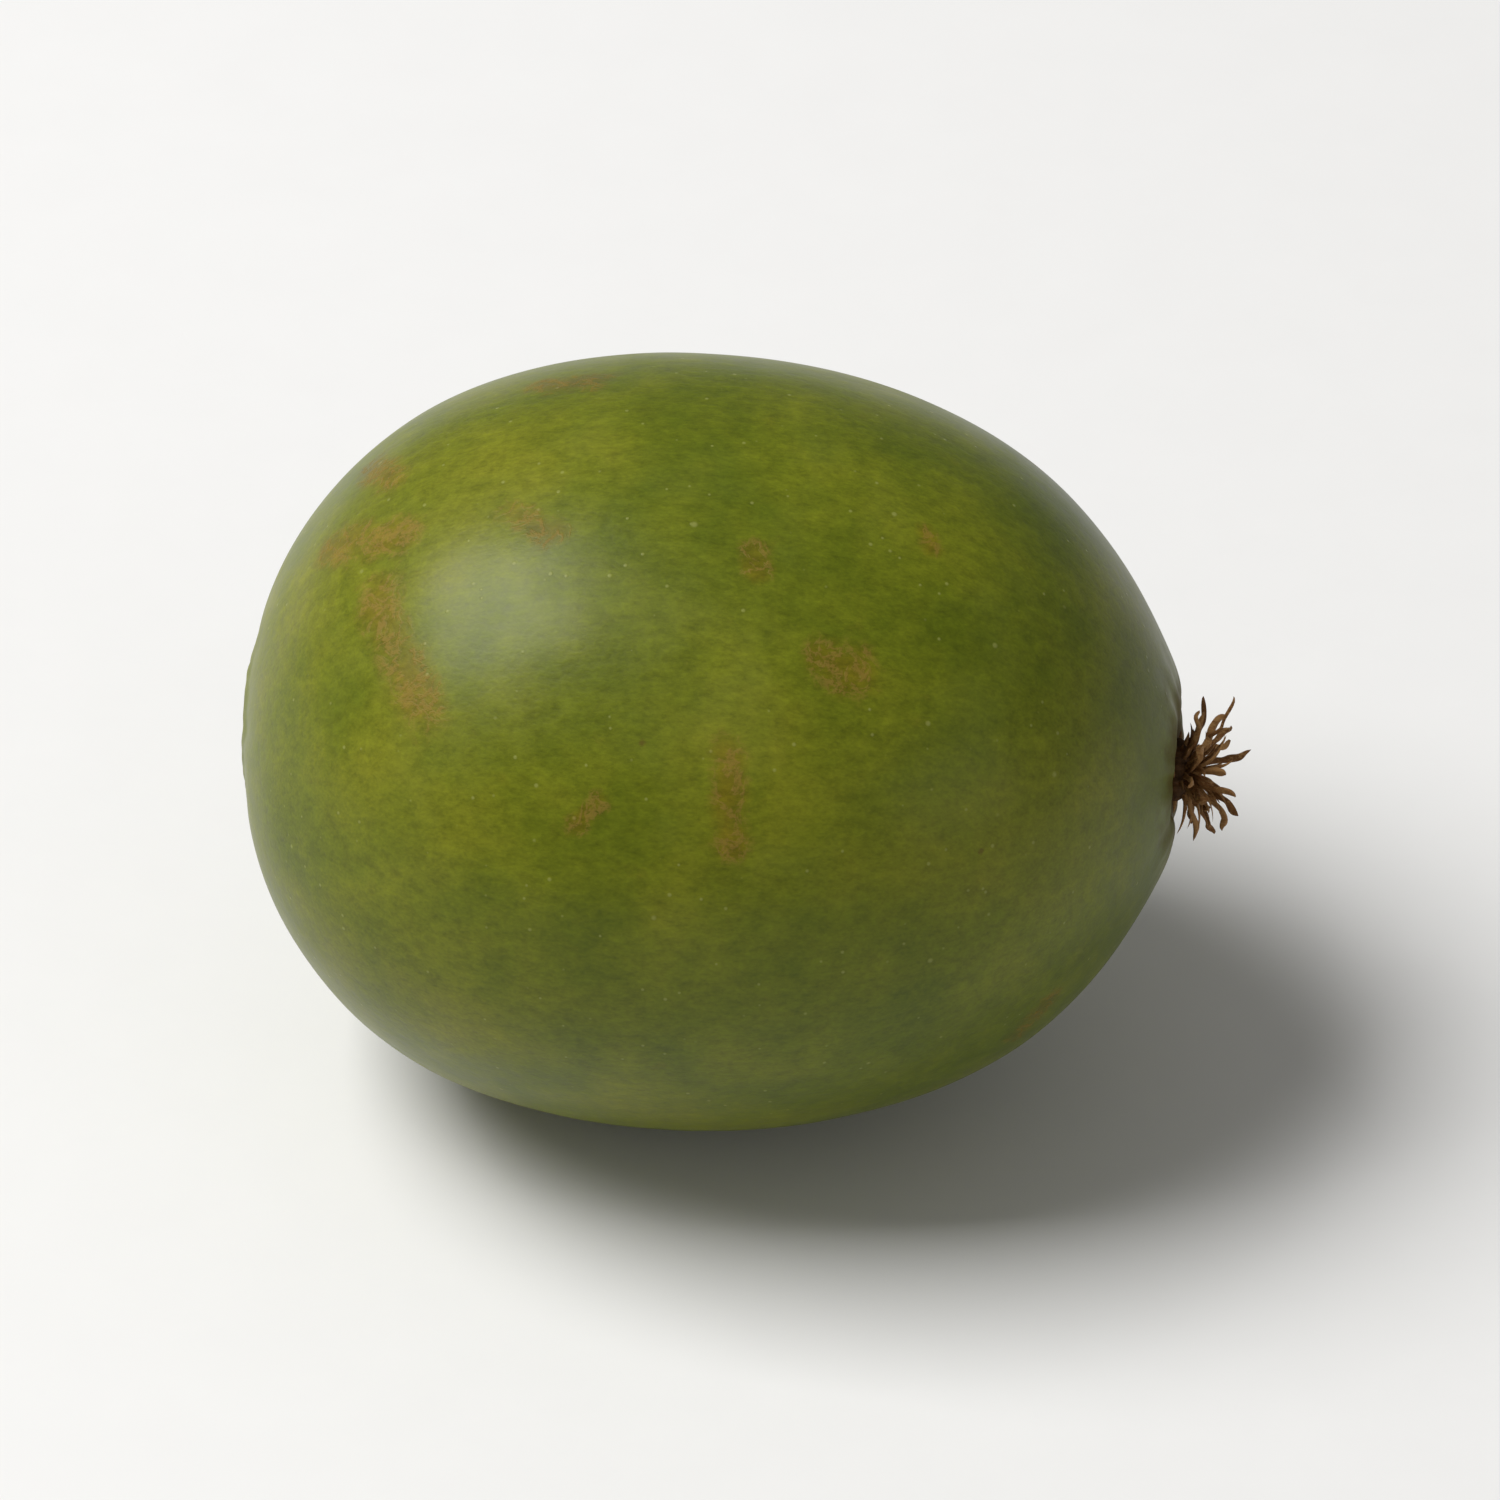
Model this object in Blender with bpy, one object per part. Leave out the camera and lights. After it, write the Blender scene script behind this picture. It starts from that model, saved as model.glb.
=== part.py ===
"""Kiwi berry: the smooth green fruit of the hardy kiwi vine, lying on its side as it was picked.

It is two pieces. The fruit has a round scar at one end, where its stalk let go. The tuft of dried
styles stays at the other end, in a shallow seat at the fruit's tip. Metres, +Z up. The long axis
runs along X with the tuft at +X, and the origin is under the middle, on the surface it lies on.
"""

import math
import random

import bmesh
import bpy
from mathutils import Vector

# The fruit without its tuft
FRUIT_LENGTH = 0.0285
FRUIT_WIDTH = 0.0245
FRUIT_HEIGHT = 0.0232
REST_DEPTH = 0.0003  # how far the flat resting spot is cut into the round belly
BARREL = 0.03  # how much fuller than an ellipsoid the shoulders are
EGG = 0.03  # how much slimmer the tuft end is than the stalk end
LOBES = 0.009  # three very low lobes round the middle
SAG = 0.008  # the side that hung lowest on the vine is a little fuller
LOBE_TURN = math.radians(63)
SAG_TURN = math.radians(-35)

# Tuft end: the skin draws out to a low beak, with a seat in its tip for the tuft
BEAK_HEIGHT = 0.0003
BEAK_RADIUS = 0.0032
SEAT_DEPTH = 0.0011
SEAT_RADIUS = 0.0015
SEAT_STEEPNESS = 5.5  # of the seat's wall: the higher, the nearer to a straight step

# Stalk end: a wide shallow dimple, and in it the scar with its raised lip
DIMPLE_DEPTH = 0.0007
DIMPLE_RADIUS = 0.0042
SCAR_RADIUS = 0.0013
SCAR_DEPTH = 0.00045
SCAR_STEEPNESS = 8
LIP_RADIUS = 0.0019
LIP_WIDTH = 0.0005
LIP_HEIGHT = 0.00016

# The tuft: a flat button, and the styles that spread from it
SEAT_GAP = 0.0002
BUTTON_RADIUS = 0.00095
BUTTON_THICKNESS = 0.0009
STYLE_COUNT = 24
STYLE_LENGTH = 0.0027
STYLE_ROOT_RADIUS = 0.00023
STYLE_TIP_RADIUS = 0.00014
STYLE_POINTS = 6
STEEPEST_RISE = math.radians(72)  # of the innermost style, from the plane of the button
LOWEST_RISE = math.radians(19)  # of the outermost ones
RISE_POWER = 0.7  # under 1, the rise falls quickest among the inner styles
DROOP = math.radians(26)  # how far a style bends down from root to tip
DROOP_POWER = 1.5  # over 1, it bends most near its tip
RISE_SPREAD = math.radians(14)
TURN_SPREAD = math.radians(15)
BUNDLE_COUNT = 5  # the styles lean together in this many loose bundles
BUNDLING = 0.6  # 0 leaves them evenly spread, 1 brings each bundle close together
SIDEWAYS_CURL = math.radians(38)
LENGTH_SPREAD = 0.22
SHORTEST_SHARE = 0.8  # length of the innermost style against the outermost
GOLDEN_ANGLE = math.radians(137.508)
TUFT_SEED = 11

# Fineness of the meshes
ROUND_SEGMENTS = 52
LENGTH_SEGMENTS = 40
END_CROWDING = 0.62  # how much closer the fruit's rings lie near its two ends
BUTTON_ROUND_SEGMENTS = 20
BUTTON_HEIGHT_SEGMENTS = 12
WELD_DISTANCE = 0.000001
SHARP_ANGLE = math.radians(50)  # between two styles that meet


def clear_scene():
    for old in list(bpy.data.objects):
        bpy.data.objects.remove(old)


def new_collection(name):
    made = bpy.data.collections.new(name)
    bpy.context.scene.collection.children.link(made)
    return made


def plain_material(name, colour, roughness):
    made = bpy.data.materials.new(name)
    made.use_nodes = True
    shader = made.node_tree.nodes["Principled BSDF"]
    shader.inputs["Base Color"].default_value = (*colour, 1.0)
    shader.inputs["Roughness"].default_value = roughness
    shader.inputs["Metallic"].default_value = 0.0
    return made


def bell(distance, radius):
    """1 on the axis, falling smoothly to nothing past the radius."""
    return math.exp(-((distance / radius) ** 2))


def plateau(distance, radius, steepness):
    """1 all over a disc with a soft edge, a half at the radius, and 0 outside it."""
    return 1 / (1 + (distance / radius) ** steepness)


def tuft_end_relief(off_axis):
    """How far the tuft end stands out along the axis at this distance from it."""
    beak = BEAK_HEIGHT * bell(off_axis, BEAK_RADIUS)
    return beak - SEAT_DEPTH * plateau(off_axis, SEAT_RADIUS, SEAT_STEEPNESS)


def stalk_end_relief(off_axis):
    """The same at the stalk end: dimple and scar go in, and the lip round the scar stands out."""
    lip = LIP_HEIGHT * bell(off_axis - LIP_RADIUS, LIP_WIDTH)
    dimple = DIMPLE_DEPTH * bell(off_axis, DIMPLE_RADIUS)
    return lip - dimple - SCAR_DEPTH * plateau(off_axis, SCAR_RADIUS, SCAR_STEEPNESS)


def fruit_point(polar, turn):
    """A point of the skin: polar is 0 at the tuft and pi at the scar, turn goes round the axis."""
    station = math.cos(polar)
    girth = math.sin(polar)
    fullness = 1 + BARREL * 4 * (station * girth) ** 2 - EGG * station
    lobes = LOBES * math.cos(3 * (turn - LOBE_TURN)) + SAG * math.cos(turn - SAG_TURN)
    across = girth * fullness * (1 + girth**2 * lobes)
    y = FRUIT_WIDTH / 2 * across * math.cos(turn)
    z = FRUIT_HEIGHT / 2 * across * math.sin(turn)
    off_axis = math.hypot(y, z)
    if station > 0:
        x = FRUIT_LENGTH / 2 * station + tuft_end_relief(off_axis)
    else:
        x = FRUIT_LENGTH / 2 * station - stalk_end_relief(off_axis)
    return Vector((x, y, z))


def corners(points):
    """Lowest and highest corner of the box round some points."""
    low = Vector(min(p[k] for p in points) for k in range(3))
    high = Vector(max(p[k] for p in points) for k in range(3))
    return low, high


def make_fruit(collection):
    """A sphere with its rings crowded towards the ends, moved onto the fruit's skin and sized."""
    shape = bmesh.new()
    bmesh.ops.create_uvsphere(
        shape, u_segments=ROUND_SEGMENTS, v_segments=LENGTH_SEGMENTS, radius=1
    )
    for vertex in shape.verts:
        polar = math.acos(max(-1.0, min(1.0, vertex.co.z)))
        turn = math.atan2(vertex.co.y, vertex.co.x)
        crowded = polar - END_CROWDING * math.sin(2 * polar) / 2
        vertex.co = fruit_point(crowded, turn)
    low, high = corners([vertex.co for vertex in shape.verts])
    size = high - low
    stretch = Vector((FRUIT_LENGTH / size.x, FRUIT_WIDTH / size.y, FRUIT_HEIGHT / size.z))
    bmesh.ops.scale(shape, verts=shape.verts, vec=stretch)
    mesh = bpy.data.meshes.new("berry")
    shape.to_mesh(mesh)
    shape.free()
    mesh.shade_smooth()
    fruit = bpy.data.objects.new("berry", mesh)
    collection.objects.link(fruit)
    seat_floor = fruit_point(0.0, 0.0).x * stretch.x
    return fruit, seat_floor


def make_button(collection, centre):
    """The dried disc that carries the styles: a sphere pressed flat along the fruit's axis."""
    shape = bmesh.new()
    bmesh.ops.create_uvsphere(
        shape,
        u_segments=BUTTON_ROUND_SEGMENTS,
        v_segments=BUTTON_HEIGHT_SEGMENTS,
        radius=BUTTON_RADIUS,
    )
    flatten = Vector((BUTTON_THICKNESS / 2 / BUTTON_RADIUS, 1, 1))
    bmesh.ops.scale(shape, verts=shape.verts, vec=flatten)
    bmesh.ops.translate(shape, verts=shape.verts, vec=centre)
    mesh = bpy.data.meshes.new("style_tuft")
    shape.to_mesh(mesh)
    shape.free()
    button = bpy.data.objects.new("style_tuft", mesh)
    collection.objects.link(button)
    return button


def style_path(index, draw):
    """The points of one style from the button's middle outwards, in tuft axes with X outwards.

    The styles open from the middle like the seeds of a sunflower: each is turned by the golden
    angle from the last, and the later ones lie flatter and reach further. They then lean towards
    the nearest bundle.
    """
    share = (index + 0.5) / STYLE_COUNT
    rise = STEEPEST_RISE + (LOWEST_RISE - STEEPEST_RISE) * share**RISE_POWER
    rise += draw.uniform(-RISE_SPREAD, RISE_SPREAD) * (1 - share)
    turn = index * GOLDEN_ANGLE
    turn -= BUNDLING * math.sin(BUNDLE_COUNT * turn) / BUNDLE_COUNT
    turn += draw.uniform(-TURN_SPREAD, TURN_SPREAD)
    length = STYLE_LENGTH * (SHORTEST_SHARE + (1 - SHORTEST_SHARE) * share)
    length *= 1 + draw.uniform(-LENGTH_SPREAD, LENGTH_SPREAD)
    curl = draw.uniform(-SIDEWAYS_CURL, SIDEWAYS_CURL)
    step = length / (STYLE_POINTS - 1)
    point = Vector((0, 0, 0))
    path = [point.copy()]
    for joint in range(1, STYLE_POINTS):
        along = (joint - 0.5) / (STYLE_POINTS - 1)
        slope = rise - DROOP * along**DROOP_POWER
        heading = turn + curl * along
        point += step * Vector(
            (math.sin(slope), math.cos(slope) * math.cos(heading), math.cos(slope) * math.sin(heading))
        )
        path.append(point.copy())
    return path


def make_style(collection, name, path, centre):
    """One style: a six-sided tapering curve, made a closed mesh so that it can be joined."""
    line = bpy.data.curves.new(name, "CURVE")
    line.dimensions = "3D"
    line.bevel_depth = STYLE_ROOT_RADIUS
    line.bevel_resolution = 1
    line.use_fill_caps = True
    spline = line.splines.new("POLY")
    spline.points.add(len(path) - 1)
    for place, (control, point) in enumerate(zip(spline.points, path)):
        share = place / (len(path) - 1)
        control.co = (*(point + centre), 1)
        control.radius = 1 + (STYLE_TIP_RADIUS / STYLE_ROOT_RADIUS - 1) * share
    guide = bpy.data.objects.new(name, line)
    collection.objects.link(guide)
    graph = bpy.context.evaluated_depsgraph_get()
    mesh = bpy.data.meshes.new_from_object(guide.evaluated_get(graph))
    bpy.data.objects.remove(guide)
    shape = bmesh.new()
    shape.from_mesh(mesh)
    bmesh.ops.remove_doubles(shape, verts=shape.verts, dist=WELD_DISTANCE)
    shape.to_mesh(mesh)
    shape.free()
    collection.objects.link(bpy.data.objects.new(name, mesh))


def make_tuft(collection, seat_floor):
    """The button with its styles, joined in one body."""
    centre = Vector((seat_floor + SEAT_GAP + BUTTON_THICKNESS / 2, 0, 0))
    button = make_button(collection, centre)
    styles = new_collection("styles to join")
    draw = random.Random(TUFT_SEED)
    for index in range(STYLE_COUNT):
        make_style(styles, f"style_{index:02d}", style_path(index, draw), centre)
    join = button.modifiers.new("join styles", "BOOLEAN")
    join.operation = "UNION"
    join.operand_type = "COLLECTION"
    join.collection = styles
    graph = bpy.context.evaluated_depsgraph_get()
    joined = bpy.data.meshes.new_from_object(button.evaluated_get(graph))
    button.modifiers.clear()
    button.data = joined
    joined.name = "style_tuft"
    for style in list(styles.objects):
        bpy.data.objects.remove(style)
    bpy.data.collections.remove(styles)
    joined.shade_smooth()
    joined.set_sharp_from_angle(angle=SHARP_ANGLE)
    return button


def cut_resting_spot(fruit, collection):
    """Takes off what reaches below the surface, which leaves the small flat spot it lies on."""
    side = FRUIT_LENGTH
    bpy.ops.mesh.primitive_cube_add(size=side, location=(0, 0, -side / 2))
    cutter = bpy.context.object
    cutter.name = "resting_surface_cutter"
    for home in list(cutter.users_collection):
        home.objects.unlink(cutter)
    collection.objects.link(cutter)
    cutter.hide_render = True
    cutter.display_type = "WIRE"
    cut = fruit.modifiers.new("resting spot", "BOOLEAN")
    cut.operation = "DIFFERENCE"
    cut.object = cutter


def main():
    clear_scene()
    parts = new_collection("kiwi berry")
    cutters = new_collection("cutters")
    fruit, seat_floor = make_fruit(parts)
    tuft = make_tuft(parts, seat_floor)
    fruit.data.materials.append(plain_material("olive green skin", (0.165, 0.188, 0.024), 0.42))
    tuft.data.materials.append(plain_material("dry brown styles", (0.150, 0.075, 0.027), 0.75))

    fruit_low, fruit_high = corners([vertex.co for vertex in fruit.data.vertices])
    tuft_high = corners([vertex.co for vertex in tuft.data.vertices])[1]
    middle = Vector(
        (
            (fruit_low.x + tuft_high.x) / 2,
            (fruit_low.y + fruit_high.y) / 2,
            fruit_low.z + REST_DEPTH,
        )
    )
    for piece in (fruit, tuft):
        piece.location = -middle
    cut_resting_spot(fruit, cutters)


main()
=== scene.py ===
import math
import random

import bpy
import numpy as np
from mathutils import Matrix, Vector


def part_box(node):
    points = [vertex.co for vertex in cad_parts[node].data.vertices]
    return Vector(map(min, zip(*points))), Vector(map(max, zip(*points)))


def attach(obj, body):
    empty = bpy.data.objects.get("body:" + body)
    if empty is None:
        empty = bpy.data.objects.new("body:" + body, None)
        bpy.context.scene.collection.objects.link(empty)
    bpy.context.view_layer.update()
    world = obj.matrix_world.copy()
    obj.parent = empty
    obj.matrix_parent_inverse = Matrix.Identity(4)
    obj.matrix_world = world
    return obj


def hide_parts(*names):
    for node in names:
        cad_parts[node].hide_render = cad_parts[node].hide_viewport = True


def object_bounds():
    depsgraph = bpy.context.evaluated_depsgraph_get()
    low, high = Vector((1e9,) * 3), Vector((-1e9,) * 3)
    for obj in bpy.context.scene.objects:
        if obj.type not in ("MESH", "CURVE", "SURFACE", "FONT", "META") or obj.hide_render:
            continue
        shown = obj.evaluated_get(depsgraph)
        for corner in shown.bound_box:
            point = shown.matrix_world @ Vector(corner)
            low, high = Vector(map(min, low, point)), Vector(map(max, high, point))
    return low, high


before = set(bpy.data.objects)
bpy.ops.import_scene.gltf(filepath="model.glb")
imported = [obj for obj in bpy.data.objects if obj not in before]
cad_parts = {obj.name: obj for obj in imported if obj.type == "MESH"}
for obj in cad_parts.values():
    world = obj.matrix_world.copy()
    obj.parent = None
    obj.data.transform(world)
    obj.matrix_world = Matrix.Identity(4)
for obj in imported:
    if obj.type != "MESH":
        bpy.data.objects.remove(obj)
cadLow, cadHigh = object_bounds()

scene = bpy.context.scene
scene.view_settings.view_transform = "Standard"  # skin colours stay as they are mixed below
scene.view_settings.look = "None"

mm = 0.001
print("frame loaded")


# shader maths, written as sums of wires
class Wire:
    # one socket of a material, which can stand in a sum such as 1 - wire * 0.4
    def __init__(self, recipe, socket):
        self.recipe = recipe
        self.socket = socket

    def maths(self, operation, *terms):
        return self.recipe.node("ShaderNodeMath", {"operation": operation}, dict(enumerate(terms)))

    def __add__(self, other):
        return self.maths("ADD", self, other)

    def __sub__(self, other):
        return self.maths("SUBTRACT", self, other)

    def __rsub__(self, other):
        return self.maths("SUBTRACT", other, self)

    def __mul__(self, other):
        return self.maths("MULTIPLY", self, other)

    def __truediv__(self, other):
        return self.maths("DIVIDE", self, other)

    def larger(self, other):
        return self.maths("MAXIMUM", self, other)

    def size(self):
        return self.maths("ABSOLUTE", self)

    __radd__ = __add__
    __rmul__ = __mul__


class Recipe:
    # one material; node() adds any node: its type, its settings, then its sockets' values or wires
    def __init__(self, name):
        self.material = bpy.data.materials.new(name)
        self.material.use_nodes = True
        self.tree = self.material.node_tree
        self.tree.nodes.clear()

    def node(self, kind, settings=None, sockets=None, output=0):
        made = self.tree.nodes.new(kind)
        for key, value in (settings or {}).items():
            setattr(made, key, value)
        for key, value in (sockets or {}).items():
            if isinstance(value, Wire):
                self.tree.links.new(value.socket, made.inputs[key])
            else:
                made.inputs[key].default_value = value
        return Wire(self, made.outputs[output]) if made.outputs else None

    def vector(self, operation, *terms):
        return self.node("ShaderNodeVectorMath", {"operation": operation}, dict(enumerate(terms)))

    def scaled(self, vector, factor):
        # a vector or a colour times a number
        return self.node("ShaderNodeVectorMath", {"operation": "SCALE"}, {0: vector, "Scale": factor})

    def millimetres(self):
        # the place on the object, in mm
        place = self.node("ShaderNodeTexCoord", output="Object")
        return self.scaled(place, 1000)

    def attribute(self, name):
        return self.node("ShaderNodeAttribute", {"attribute_name": name}, output="Fac")

    def noise(self, place, scale, detail=2.0, roughness=0.5, distortion=0.0):
        sockets = {"Vector": place, "Scale": scale, "Detail": detail,
                   "Roughness": roughness, "Distortion": distortion}
        return self.node("ShaderNodeTexNoise", {}, sockets)

    def cells(self, place, scale):
        # the way to the nearest of scattered points, in the units of place, and a draw from 0 to 1
        # that is the same all over the cell of each point
        gap = self.node("ShaderNodeTexVoronoi", {}, {"Vector": place, "Scale": scale}, "Distance")
        tint = Wire(self, gap.socket.node.outputs["Color"])
        return gap / scale, self.node("ShaderNodeSeparateColor", {}, {0: tint}, 0)

    def ease(self, value, low, high):
        # 0 below low, 1 above high, smooth between; low may be the larger one
        settings = {"interpolation_type": "SMOOTHSTEP"}
        return self.node("ShaderNodeMapRange", settings, {0: value, 1: low, 2: high})

    def stray(self, value, noise, amount):
        # a value that a noise moves up or down by as much as half of amount
        return value + (noise - 0.5) * amount

    def mix(self, share, first, second):
        # the first colour, with a share of the second one laid over it
        sides = [side if isinstance(side, Wire) else (*side, 1) for side in (first, second)]
        return self.node("ShaderNodeMix", {"data_type": "RGBA"}, {0: share, 6: sides[0], 7: sides[1]}, 2)

    def bump(self, height):
        # relief from a height in mm
        return self.node("ShaderNodeBump", {}, {"Strength": 1.0, "Distance": mm, "Height": height})

    def finish(self, shaderSockets):
        shader = self.node("ShaderNodeBsdfPrincipled", {}, shaderSockets)
        self.node("ShaderNodeOutputMaterial", {}, {"Surface": shader})
        return self.material


# meshes from grids of points
def buildMesh(name, points, quads, triangles, attributes=None):
    # a smooth object from arrays; each attribute is one number for every point
    mesh = bpy.data.meshes.new(name)
    faces = quads.tolist() + triangles.tolist()
    mesh.from_pydata(points.tolist(), [], faces)
    for key, values in (attributes or {}).items():
        layer = mesh.attributes.new(key, "FLOAT", "POINT")
        layer.data.foreach_set("value", np.ascontiguousarray(values, dtype=np.float32))
    mesh.shade_smooth()
    mesh.update()
    made = bpy.data.objects.new(name, mesh)
    scene.collection.objects.link(made)
    return made


def closedSkin(rings, columns):
    # faces of a grid whose rows are rings, closed by one point before the first and one after the last:
    # a quad joins each pair of neighbours to the same pair of the next ring, and a fan closes each end
    row = np.arange(rings - 1)[:, None] * columns
    column = np.arange(columns)[None, :]
    after = (column + 1) % columns
    quads = np.stack([row + column, row + columns + column, row + columns + after, row + after], -1)
    start, end = rings * columns, rings * columns + 1
    last = (rings - 1) * columns
    across, beside = column[0], after[0]
    firstFan = np.stack([np.full(columns, start), across, beside], -1)
    lastFan = np.stack([np.full(columns, end), last + beside, last + across], -1)
    return quads.reshape(-1, 4), np.concatenate([firstFan, lastFan])


def ballGrid(rings, columns, crowding=0.0):
    # angle from the axis and turn round it for every point of a ball: its rings, then its two poles;
    # the rings draw towards both poles by crowding times half the sine of twice the angle
    even = np.linspace(0, np.pi, rings + 2)[1:-1]
    polar = (even - crowding * np.sin(2 * even) / 2)[:, None] + np.zeros((1, columns))
    turn = np.linspace(0, 2 * np.pi, columns, endpoint=False)[None, :] + np.zeros((rings, 1))
    return np.concatenate([polar.ravel(), [0.0, np.pi]]), np.concatenate([turn.ravel(), [0.0, 0.0]])


# the fruit
fruit = dict(
    length=28.5 * mm, width=24.5 * mm, height=23.2 * mm,
    restDepth=0.3 * mm,  # how far the belly is pressed flat where it lies
    restSoftness=0.05 * mm,  # how softly the flat runs out into the belly
    barrel=0.03,  # how much fuller the shoulders are than an ellipsoid's
    egg=0.03,  # how much slimmer it gets towards the tuft
    lobes=0.009, lobeTurn=math.radians(63),  # three low lobes
    sag=0.008, sagTurn=math.radians(-35),  # and one fuller side
    beakHeight=0.3 * mm, beakRadius=3.2 * mm,  # the rise to the tuft
    seatDepth=1.1 * mm, seatRadius=1.5 * mm, seatSteepness=5.5,  # the pit that the tuft stands in
    seatWaves=((0.05, 3, 1.2), (0.045, 5, 0.4), (0.03, 8, 2.0)),  # share of the radius, count, phase
    dimpleDepth=0.7 * mm, dimpleRadius=4.2 * mm,  # the wide dimple at the stalk end
    scarRadius=1.3 * mm, scarDepth=0.45 * mm, scarSteepness=8,
    lipRadius=1.9 * mm, lipWidth=0.5 * mm, lipHeight=0.16 * mm,  # the low ring round the scar
    scarWaves=((0.06, 2, 0.8), (0.045, 3, 2.0), (0.03, 5, 0.0)),
    swells=((0.06 * mm, 9 * mm, 22), (0.008 * mm, 3.1 * mm, 30)),  # height, wavelength, waves
    calmRadius=2.0 * mm,  # no swells this near to the axis
    pucker=0.035 * mm,  # height of the folds that run in to the seat and to the scar
    tuftFolds=dict(counts=(7, 12, 19), phases=(0.3, 2.1, 4.0), radius=2.7 * mm, width=0.9 * mm),
    scarFolds=dict(counts=(6, 11, 17), phases=(1.1, 0.2, 3.3), radius=2.9 * mm, width=1.0 * mm),
    veinEnds=dict(counts=(9,), phases=(0.4,), radius=0.75 * mm, width=0.22 * mm),
    veinHeight=0.09 * mm, middleVein=0.9, middleVeinRadius=0.28 * mm,
    farAway=12 * mm,  # the distance that the other half gets, so that an end's marks stay at that end
    rings=232, columns=384, endCrowding=0.5, seed=5,
)


def bell(distance, radius):
    # 1 at no distance, falling as e to the power of minus the square of distance over radius
    return np.exp(-((distance / radius) ** 2))


def plateau(distance, radius, steepness):
    # near 1 inside the radius and near 0 outside: one over 1 plus distance over radius to a power
    return 1 / (1 + (distance / radius) ** steepness)


def uneven(turn, waves):
    # a factor near 1 that changes round the axis: 1 plus one cosine for each (amount, count, phase)
    return 1 + sum(amount * np.cos(count * turn + phase) for amount, count, phase in waves)


def fruitPoints(f, polar, turn):
    # an ellipsoid's point at (polar, turn), made fuller at the shoulders and slimmer towards the tuft,
    # with three low lobes round it; the ends then go in or out along the axis by their distance from it
    station, girth = np.cos(polar), np.sin(polar)
    fullness = 1 + f["barrel"] * 4 * (station * girth) ** 2 - f["egg"] * station
    lobes = f["lobes"] * np.cos(3 * (turn - f["lobeTurn"])) + f["sag"] * np.cos(turn - f["sagTurn"])
    across = girth * fullness * (1 + girth**2 * lobes)
    y = f["width"] / 2 * across * np.cos(turn)
    z = f["height"] / 2 * across * np.sin(turn)
    offAxis = np.hypot(y, z)
    # neither the seat nor the scar has a truly round outline
    seatReach = offAxis * uneven(turn, f["seatWaves"])
    scarReach = offAxis * uneven(turn, f["scarWaves"])
    tuftEnd = f["beakHeight"] * bell(offAxis, f["beakRadius"])
    tuftEnd = tuftEnd - f["seatDepth"] * plateau(seatReach, f["seatRadius"], f["seatSteepness"])
    stalkEnd = f["lipHeight"] * bell(scarReach - f["lipRadius"], f["lipWidth"])
    stalkEnd = stalkEnd - f["dimpleDepth"] * bell(offAxis, f["dimpleRadius"])
    stalkEnd = stalkEnd - f["scarDepth"] * plateau(scarReach, f["scarRadius"], f["scarSteepness"])
    x = f["length"] / 2 * station + np.where(station > 0, tuftEnd, -stalkEnd)
    return np.stack([x, y, z], -1), offAxis


def swells(points, wavelength, count, seed):
    # a sum of plane cosine waves in random directions and lengths, about -1 to 1
    draw = np.random.default_rng(seed)
    directions = draw.normal(size=(count, 3))
    directions /= np.linalg.norm(directions, axis=1, keepdims=True)
    steps = directions * (2 * np.pi / wavelength) * draw.uniform(0.75, 1.3, (count, 1))
    phases = draw.uniform(0, 2 * np.pi, count)
    return np.cos(points @ steps.T + phases).sum(-1) / np.sqrt(count * 2)


def folds(turn, ring):
    # the mean of several cosines round the axis, times 1.4, which brings it back to about -1 to 1
    cosines = sum(np.cos(n * turn + p) for n, p in zip(ring["counts"], ring["phases"]))
    return cosines / len(ring["counts"]) * 1.4


def near(offAxis, ring):
    # 1 at the ring's radius, falling as a bell over its width on both sides
    return bell(offAxis - ring["radius"], ring["width"])


# russet marks: polar and turn in degrees of both ends, half width in mm
scuffs = dict(
    seen=[
        (111, 70, 105, 72, 0.42), (112, 104, 107, 108, 0.36), (131, 116, 122, 136, 0.55),
        (135, 77, 131, 87, 0.40), (83, 110, 82, 113, 0.30), (73, 126, 69, 128, 0.50),
        (84, 141, 83, 155, 0.36), (99, 150, 101, 153, 0.24), (62, 100, 61, 103, 0.22),
        (140, 98, 128, 104, 0.50),
    ],
    unseenCount=18, unseenPolar=(38, 145), unseenTurn=(185, 420), unseenLength=11, unseenWidth=(0.2, 0.55),
    reach=2.5,  # a mark fades out at this many half widths
    seed=21,
)


def scuffLines(s):
    # the marks that are seen, then short lines at random places and slopes on the rest of the skin
    draw = random.Random(s["seed"])
    lines = list(s["seen"])
    for _ in range(s["unseenCount"]):
        polar = draw.uniform(*s["unseenPolar"])
        turn = draw.uniform(*s["unseenTurn"])
        slope = draw.uniform(-1, 1)
        reach = draw.uniform(0.2, 1) * s["unseenLength"]
        width = draw.uniform(*s["unseenWidth"])
        lines.append((polar, turn, polar + reach * slope, turn + reach * (1 - abs(slope)), width))
    return lines


def nearness(points, start, end, reach):
    # 1 on a line between two points, falling evenly to 0 at reach from it
    along = end - start
    share = np.clip((points - start) @ along / (along @ along), 0, 1)
    gap = np.linalg.norm(points - start - share[..., None] * along, axis=-1)
    return np.clip(1 - gap / reach, 0, 1)


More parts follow.
